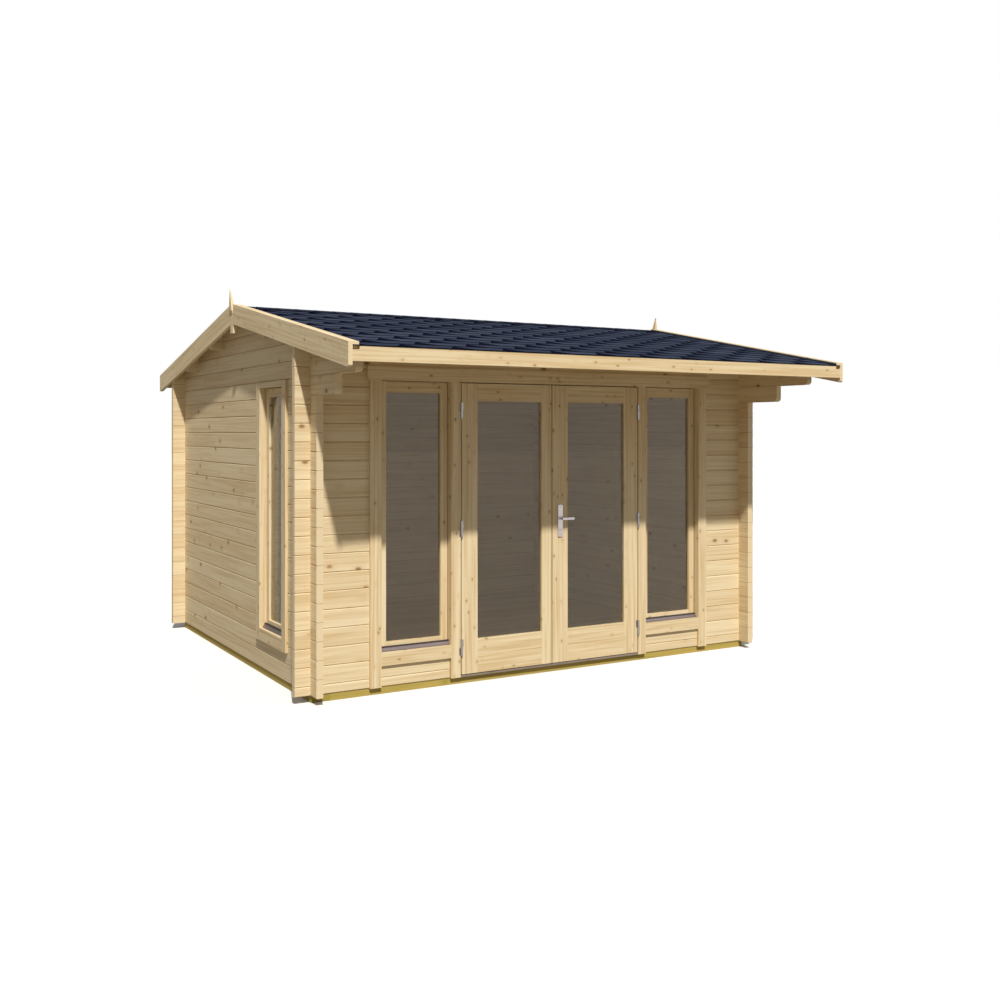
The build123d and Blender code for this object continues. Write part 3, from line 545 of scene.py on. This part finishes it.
def ridge_tree():
    """Short felt pieces folded over the ridge, each lapping the next."""
    tree, size, result = geometry_tree(
        "ridge_caps",
        {
            "length": "NodeSocketFloat",
            "width": "NodeSocketFloat",
            "thickness": "NodeSocketFloat",
            "exposure": "NodeSocketFloat",
            "count": "NodeSocketInt",
            "fall": "NodeSocketFloat",
            "tilt": "NodeSocketFloat",
            "seed": "NodeSocketInt",
            "material": "NodeSocketMaterial",
        },
    )
    line = line_of_points(tree, size["count"], size["exposure"], 0)
    cap = put(
        tree,
        "GeometryNodeMeshCube",
        {"Size": block_size(tree, size), "Vertices X": 2, "Vertices Y": 3, "Vertices Z": 2},
    )
    corner = spot_parts(tree)
    downward = maths(tree, "MULTIPLY", size["fall"], -1.0)
    drop = maths(tree, "MULTIPLY", maths(tree, "ABSOLUTE", corner[1]), downward)
    fold = put(tree, "ShaderNodeCombineXYZ", {2: drop})
    bent = put(tree, "GeometryNodeSetPosition", {"Geometry": cap.outputs[0], "Offset": fold.outputs[0]})
    # tab_lap passes 0.5 near the lapped end, where the felt paints shade
    along = maths(tree, "ADD", maths(tree, "DIVIDE", corner[0], size["length"]), 0.5)
    lap = ramped(tree, along, 0.0, 1.0, 0.42, 0.54)
    folded = put(
        tree,
        "GeometryNodeStoreNamedAttribute",
        {"Geometry": bent.outputs[0], "Name": "tab_lap", "Value": lap},
        data_type="FLOAT",
        domain="POINT",
    )
    lean = put(tree, "ShaderNodeCombineXYZ", {1: size["tilt"]}).outputs[0]
    laid = shaded_instances(
        tree, line, folded.outputs[0], "tab_shade", size["seed"], size["material"], lean
    )
    tree.links.new(laid, result.inputs[0])
    return tree


def grow(name, tree, place, **sizes):
    """Runs a tree with its sizes and keeps the result as a plain mesh, put in place."""
    blank = bpy.data.meshes.new(name + "_blank")
    host = bpy.data.objects.new(name + "_blank", blank)
    bpy.context.scene.collection.objects.link(host)
    modifier = host.modifiers.new("grow", "NODES")
    modifier.node_group = tree
    for item in tree.interface.items_tree:
        if item.in_out == "INPUT":
            modifier[item.identifier] = sizes[item.name]
    mesh = bpy.data.meshes.new_from_object(host.evaluated_get(bpy.context.evaluated_depsgraph_get()))
    bpy.data.objects.remove(host)
    bpy.data.meshes.remove(blank)
    mesh.name = name
    mesh.transform(place)
    piece = bpy.data.objects.new(name, mesh)
    bpy.context.scene.collection.objects.link(piece)
    return piece


def trim_to(piece, planes):
    """Cuts a piece off beyond planes, given as a point and an outward direction, and closes the cuts."""
    shape = bmesh.new()
    shape.from_mesh(piece.data)
    for point, outward in planes:
        parts = shape.verts[:] + shape.edges[:] + shape.faces[:]
        cut = bmesh.ops.bisect_plane(
            shape, geom=parts, plane_co=point, plane_no=outward, clear_outer=True
        )
        rim = [part for part in cut["geom_cut"] if isinstance(part, bmesh.types.BMEdge)]
        bmesh.ops.holes_fill(shape, edges=rim)
    bmesh.ops.recalc_face_normals(shape, faces=shape.faces)
    shape.to_mesh(piece.data)
    shape.free()


SHINGLES = shingle_tree()
BOARDS = board_tree()
RIDGE_CAPS = ridge_tree()

# Roof covering and boards, in metres
TAB_WIDTH = 0.333
TAB_EXPOSURE = 0.145
TAB_THICKNESS = 0.0017
TAB_TILT = -0.0125
TAB_LIFT = 0.0030
TAB_COLUMNS = 13
SHINGLE_ROWS = 16
STARTER_WIDTH = 0.2
STARTER_THICKNESS = 0.0020
STARTER_LIFT = 0.0011
RIDGE_LIFT = 0.0095
DECK_THICKNESS = 0.018
DECK_END_GAP = 0.004
DECK_BOARD_COUNT = 38
FLOOR_BOARD_COUNT = 24
BOARD_JOINT = 0.002
DECK_TOP_AT_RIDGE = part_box("front_roof_deck")[1].z
DECK_HALF_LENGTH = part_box("front_roof_deck")[1].x
DECK_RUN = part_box("back_roof_deck")[1].y / math.cos(ROOF_PITCH)
FELT_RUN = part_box("back_shingles")[1].y / math.cos(ROOF_PITCH)


def roof_slope(side, turn, down, tab_seed, board_seed):
    """The shingles, the starter strip under their first row and the deck boards of one slope."""
    facing = Matrix.Rotation(turn, 4, "Z")
    slope = Matrix.Translation((0, 0, DECK_TOP_AT_RIDGE)) @ facing @ Matrix.Rotation(ROOF_PITCH, 4, "X")
    middle = -FELT_RUN + TAB_EXPOSURE + TAB_EXPOSURE * (SHINGLE_ROWS - 1) / 2
    shingles = grow(
        f"{side}_felt_shingles",
        SHINGLES,
        slope @ Matrix.Translation((0, middle, TAB_LIFT)),
        tab_width=TAB_WIDTH,
        exposure=TAB_EXPOSURE,
        thickness=TAB_THICKNESS,
        columns=TAB_COLUMNS,
        rows=SHINGLE_ROWS,
        tilt=TAB_TILT,
        seed=tab_seed,
        material=FELT,
    )
    trim_to(
        shingles,
        [
            (Vector((DECK_HALF_LENGTH, 0, 0)), Vector((1, 0, 0))),
            (Vector((-DECK_HALF_LENGTH, 0, 0)), Vector((-1, 0, 0))),
            (Vector((0, 0, 0)), Vector((0, -down, 0))),
        ],
    )
    # The starter strip has no tab_lap, so the felt gives it all painted shade, a dark line along the eave
    starter = grow(
        f"{side}_starter_felt",
        BOARDS,
        slope @ Matrix.Translation((0, -FELT_RUN + STARTER_WIDTH / 2, STARTER_LIFT)),
        length=2 * DECK_HALF_LENGTH,
        width=STARTER_WIDTH,
        thickness=STARTER_THICKNESS,
        joint=0.0,
        count=1,
        seed=1,
        material=FELT,
    )
    deck = slope @ Matrix.Translation((0, -DECK_RUN / 2, -DECK_THICKNESS / 2))
    boards = grow(
        f"{side}_deck_boards",
        BOARDS,
        deck @ Matrix.Rotation(math.pi / 2, 4, "Z"),
        length=DECK_RUN - DECK_END_GAP,
        width=2 * DECK_HALF_LENGTH / DECK_BOARD_COUNT - BOARD_JOINT,
        thickness=DECK_THICKNESS,
        joint=BOARD_JOINT,
        count=DECK_BOARD_COUNT,
        seed=board_seed,
        material=DECK,
    )
    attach(shingles, "cabin")
    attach(starter, "cabin")
    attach(boards, "cabin")
    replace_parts(shingles, f"{side}_shingles")
    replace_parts(boards, f"{side}_roof_deck")


def ridge_felt():
    """The row of folded felt caps along the ridge."""
    caps = grow(
        "ridge_felt",
        RIDGE_CAPS,
        Matrix.Translation((0, 0, DECK_TOP_AT_RIDGE + RIDGE_LIFT)),
        length=0.25,
        width=0.30,
        thickness=0.0024,
        exposure=0.1425,
        count=25,
        fall=math.tan(ROOF_PITCH),
        tilt=0.010,
        seed=8,
        material=FELT,
    )
    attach(caps, "cabin")


def floor_planks():
    """Floorboards that fill the place of the floor's one panel."""
    low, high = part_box("floor_boards")
    planks = grow(
        "floor_planks",
        BOARDS,
        Matrix.Translation((low + high) / 2),
        length=high.x - low.x,
        width=(high.y - low.y) / FLOOR_BOARD_COUNT - BOARD_JOINT,
        thickness=high.z - low.z,
        joint=BOARD_JOINT,
        count=FLOOR_BOARD_COUNT,
        seed=7,
        material=PLANK,
    )
    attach(planks, "cabin")
    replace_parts(planks, "floor_boards")


roof_slope("front", 0.0, -1.0, 3, 5)
roof_slope("back", math.pi, 1.0, 4, 6)
ridge_felt()
floor_planks()


def new_piece(name, shape, material, body):
    """Makes a mesh piece that rides on a body, and frees its working form."""
    bmesh.ops.recalc_face_normals(shape, faces=shape.faces)
    mesh = bpy.data.meshes.new(name)
    shape.to_mesh(mesh)
    shape.free()
    mesh.materials.append(material)
    piece = bpy.data.objects.new(name, mesh)
    bpy.context.scene.collection.objects.link(piece)
    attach(piece, body)
    return piece


def stacked(shape, sections):
    """Joins level rectangles, each of two X ends, two Y ends and a height, into one closed form."""
    rings = []
    for x_ends, y_ends, height in sections:
        (west, east), (south, north) = sorted(x_ends), y_ends
        corners = ((west, south), (east, south), (east, north), (west, north))
        rings.append([shape.verts.new((x, y, height)) for x, y in corners])
    for lower, upper in zip(rings, rings[1:]):
        for step in range(4):
            after = (step + 1) % 4
            shape.faces.new((lower[step], lower[after], upper[after], upper[step]))
    shape.faces.new(rings[0])
    shape.faces.new(rings[-1])


# From the tip of a finial down to the spire's shoulder, in metres
SPIRE_SHOULDER = 0.129


def gable_edges():
    """Finials whose spires stand out in front of the bargeboards, and cap strips flush with them."""
    barge_inner = DECK_HALF_LENGTH
    barge_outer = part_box("right_bargeboards")[1].x
    low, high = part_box("gable_finials")
    shoulder = high.z - SPIRE_SHOULDER
    finials = bmesh.new()
    for side in (-1.0, 1.0):
        flush = (side * barge_inner, side * barge_outer)
        stacked(finials, [(flush, (low.y, high.y), low.z), (flush, (low.y, high.y), shoulder)])
        # The spire is planted on the face of the bargeboards. Each row gives its back and its front from
        # that face, half its width, and a height
        spire = [
            (0.0, 0.003, 0.024, high.z - 0.170),
            (0.0, 0.010, 0.030, high.z - 0.150),
            (0.0, 0.011, 0.027, shoulder),
            (-0.015, 0.011, 0.027, shoulder),
            (0.008, 0.013, 0.0025, high.z - 0.008),
        ]
        stacked(
            finials,
            [
                ((side * (barge_outer + back), side * (barge_outer + face)), (-half, half), height)
                for back, face, half, height in spire
            ],
        )
    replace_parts(new_piece("finial_spires", finials, UPRIGHT, "cabin"), "gable_finials")

    caps = bmesh.new()
    caps.from_mesh(nodes["cap_strips"].data)
    bmesh.ops.remove_doubles(caps, verts=caps.verts, dist=1e-5)
    for corner in caps.verts:
        corner.co.x = max(-barge_outer, min(barge_outer, corner.co.x))
    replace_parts(new_piece("verge_caps", caps, RAKE, "cabin"), "cap_strips")


gable_edges()


# Felt turned up at the verges: its foot and top are measured from the underside of the cap strips
VERGE_FELT_THICKNESS = 0.0015
VERGE_FELT_FOOT = -0.003
VERGE_FELT_TOP = 0.0115


def verge_felt():
    """Felt turned up against the inner face of each cap strip."""
    low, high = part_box("cap_strips")
    inner = high.x - CAP_WIDTH
    slope = math.tan(ROOF_PITCH)
    strips = bmesh.new()
    for side in (-1.0, 1.0):
        for front in (-1.0, 1.0):
            ends = []
            for reach in (CAP_START, high.y):
                bottom = low.z + (high.y - reach) * slope
                ends.append([
                    strips.verts.new((side * x, front * reach, bottom + lift))
                    for x, lift in (
                        (inner - VERGE_FELT_THICKNESS, VERGE_FELT_FOOT),
                        (inner, VERGE_FELT_FOOT),
                        (inner, VERGE_FELT_TOP),
                        (inner - VERGE_FELT_THICKNESS, VERGE_FELT_TOP),
                    )
                ])
            upper, lower = ends
            for step in range(4):
                after = (step + 1) % 4
                strips.faces.new((upper[step], upper[after], lower[after], lower[step]))
            strips.faces.new(upper)
            strips.faces.new(lower)
    piece = new_piece("verge_felt", strips, FELT, "cabin")
    for name, value in (("tab_lap", 0.2), ("tab_shade", 1.0)):
        shade = piece.data.attributes.new(name, "FLOAT", "POINT")
        shade.data.foreach_set("value", [value] * len(piece.data.vertices))


verge_felt()


# The seals, measured from the ends, the back and the top of a drip strip
SEAL_INSET = 0.0005
SEAL_WIDTH = 0.014
SEAL_DEPTH = 0.009
SEAL_RISE = 0.0008


def drip_seals():
    """A dark seal along the top of each drip strip, against the bottom rail behind it; its dark colour also
    serves as painted shade under the rail.
    """
    strips = bmesh.new()
    strips.from_mesh(nodes["drip_strips"].data)
    bmesh.ops.remove_doubles(strips, verts=strips.verts, dist=1e-5)
    seals = bmesh.new()
    waiting = set(strips.verts)
    while waiting:
        strip = {waiting.pop()}
        fresh = list(strip)
        while fresh:
            corner = fresh.pop()
            near = {edge.other_vert(corner) for edge in corner.link_edges} - strip
            strip |= near
            fresh.extend(near)
        waiting -= strip
        (west, east), (south, north), (_, high) = (
            (min(v.co[axis] for v in strip), max(v.co[axis] for v in strip)) for axis in range(3)
        )
        if east - west > north - south:
            ends = ((west + SEAL_INSET, east - SEAL_INSET), (north - SEAL_WIDTH, north - SEAL_INSET))
        else:
            ends = ((east - SEAL_WIDTH, east - SEAL_INSET), (south + SEAL_INSET, north - SEAL_INSET))
        stacked(seals, [(*ends, high - SEAL_DEPTH), (*ends, high + SEAL_RISE)])
    strips.free()
    new_piece("drip_seals", seals, SEAL_AND_SHADE, "cabin")


drip_seals()


def turned(shape, middle, outward, profile, steps=16):
    """Adds a small turned form on an axis along Y: rings of given radius and height, with closed ends."""
    rings = []
    for radius, height in profile:
        angles = [2 * math.pi * step / steps for step in range(steps)]
        rings.append([
            shape.verts.new(middle + Vector((radius * math.cos(a), outward * height, radius * math.sin(a))))
            for a in angles
        ])
    for lower, upper in zip(rings, rings[1:]):
        for step in range(steps):
            after = (step + 1) % steps
            shape.faces.new((lower[step], lower[after], upper[after], upper[step]))
    shape.faces.new(rings[0])
    shape.faces.new(rings[-1])


# Screws and lock cylinders: radius and height of each ring
SCREW_RINGS = [(0.0046, 0.0), (0.0046, 0.0008), (0.0036, 0.0018), (0.0017, 0.0020), (0.0015, 0.0010)]
LOCK_RINGS = [(0.0092, 0.0), (0.0092, 0.0030), (0.0083, 0.0040), (0.0066, 0.0040), (0.0064, 0.0034)]

# Their places on a handle plate, and the key slot in the face of a lock
SCREW_INSET = 0.013
LOCK_RISE = 0.048
KEY_SLOT = Vector((0.0014, 0.0012, 0.0072))
KEY_SLOT_LIFT = 0.0032


def lock_fittings():
    """Screws and a lock cylinder on both handle plates of the right leaf."""
    low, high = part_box("handle_plates")
    middle_x = (low.x + high.x) / 2
    fittings = bmesh.new()
    slots = bmesh.new()
    for face, outward in ((low.y, -1.0), (high.y, 1.0)):
        for height in (low.z + SCREW_INSET, high.z - SCREW_INSET):
            turned(fittings, Vector((middle_x, face, height)), outward, SCREW_RINGS)
        lock = Vector((middle_x, face, low.z + LOCK_RISE))
        turned(fittings, lock, outward, LOCK_RINGS, 24)
        slot = bmesh.ops.create_cube(slots, size=1.0)
        slot_middle = lock + Vector((0, outward * KEY_SLOT_LIFT, 0))
        bmesh.ops.scale(slots, vec=KEY_SLOT, verts=slot["verts"])
        bmesh.ops.translate(slots, vec=slot_middle, verts=slot["verts"])
    new_piece("lock_fittings", fittings, HANDLE, "right_door")
    new_piece("key_slots", slots, DARK, "right_door")


lock_fittings()


# Strength of the soft fill from the left and from the right, and of gloss from behind
FILL_LEFT = 0.20
FILL_RIGHT = 0.49
BEHIND_GLOSS = 0.25

# The floor as the camera sees it, and as it lights the cabin
FLOOR_WHITE = (0.90, 0.90, 0.90, 1.0)
FLOOR_BOUNCE = (0.24, 0.22, 0.19, 1.0)
FLOOR_REACH = 70.0
FLOOR_HEIGHT = -0.001


def white_surround():
    """A white room for what the camera, gloss and glass see, and a dimmer soft fill for the surfaces."""
    world = bpy.data.worlds.new("white_surround")
    bpy.context.scene.world = world
    world.use_nodes = True
    tree = world.node_tree
    tree.nodes.clear()
    path = put(tree, "ShaderNodeLightPath")
    seen = maths(tree, "MAXIMUM", path.outputs["Is Camera Ray"], path.outputs["Is Transmission Ray"])
    # The fill is dimmer from the left, where the long side wall faces, and gloss is dimmer from behind
    spot = put(tree, "ShaderNodeTexCoord")
    sideways, backward = put(tree, "ShaderNodeSeparateXYZ", {0: spot.outputs["Generated"]}).outputs[:2]
    fill = ramped(tree, sideways, -1.0, 1.0, FILL_LEFT, FILL_RIGHT)
    gloss = ramped(tree, backward, 0.0, 0.7, 1.0, BEHIND_GLOSS)
    mirrored = path.outputs["Is Glossy Ray"]
    unseen = put(tree, "ShaderNodeMix", {0: mirrored, 2: fill, 3: gloss}, data_type="FLOAT").outputs[0]
    strength = put(tree, "ShaderNodeMix", {0: seen, 2: unseen, 3: 1.0}, data_type="FLOAT").outputs[0]
    sky = put(tree, "ShaderNodeBackground", {"Color": (1.0, 1.0, 1.0, 1.0), "Strength": strength})
    out = tree.nodes.new("ShaderNodeOutputWorld")
    tree.links.new(sky.outputs[0], out.inputs["Surface"])


def white_floor():
    """A plain pale floor that keeps the cabin's shadow."""
    mesh = bpy.data.meshes.new("studio_floor")
    corners = [
        (x * FLOOR_REACH, y * FLOOR_REACH, FLOOR_HEIGHT) for x, y in ((-1, -1), (1, -1), (1, 1), (-1, 1))
    ]
    mesh.from_pydata(corners, [], [(0, 1, 2, 3)])
    floor = bpy.data.objects.new("studio_floor", mesh)
    bpy.context.scene.collection.objects.link(floor)
    material = bpy.data.materials.new("studio_floor")
    material.use_nodes = True
    tree = material.node_tree
    tree.nodes.clear()
    path = put(tree, "ShaderNodeLightPath")
    seen = maths(tree, "MAXIMUM", path.outputs["Is Camera Ray"], path.outputs["Is Transmission Ray"])
    spot = put(tree, "ShaderNodeTexCoord")
    backward = put(tree, "ShaderNodeSeparateXYZ", {0: spot.outputs["Object"]}).outputs[1]
    gloss = ramped(tree, backward, -1.0, 1.0, 1.0, BEHIND_GLOSS)
    mirrored = mixed(tree, gloss, (0.0, 0.0, 0.0, 1.0), FLOOR_WHITE)
    unseen = mixed(tree, path.outputs["Is Glossy Ray"], FLOOR_BOUNCE, mirrored)
    colour = mixed(tree, seen, unseen, FLOOR_WHITE)
    matt = put(tree, "ShaderNodeBsdfDiffuse", {"Color": colour})
    out = tree.nodes.new("ShaderNodeOutputMaterial")
    tree.links.new(matt.outputs[0], out.inputs["Surface"])
    mesh.materials.append(material)


def key_light():
    """One soft key light from the front, a little to the left."""
    lamp = bpy.data.lights.new("key_light", "SUN")
    lamp.energy = 3.8
    lamp.color = (1.0, 0.985, 0.95)
    lamp.angle = math.radians(1.9)
    key = bpy.data.objects.new("key_light", lamp)
    bpy.context.scene.collection.objects.link(key)
    key.rotation_mode = "QUATERNION"
    key.rotation_quaternion = Vector((0.208, 0.616, -0.75)).to_track_quat("-Z", "Y")


def front_left_camera():
    """A level camera to the left of the front, at eye height."""
    lens = bpy.data.cameras.new("front_left")
    lens.sensor_width = 36.0
    lens.lens = 39.29
    lens.shift_y = -0.0687
    camera = bpy.data.objects.new("front_left", lens)
    bpy.context.scene.collection.objects.link(camera)
    camera.location = (-4.108, -7.522, 1.651)
    camera.rotation_euler = (math.radians(90.0), 0.0, math.radians(-30.40))
    bpy.context.scene.camera = camera


white_surround()
white_floor()
key_light()
front_left_camera()
bpy.context.scene.view_settings.view_transform = "Standard"
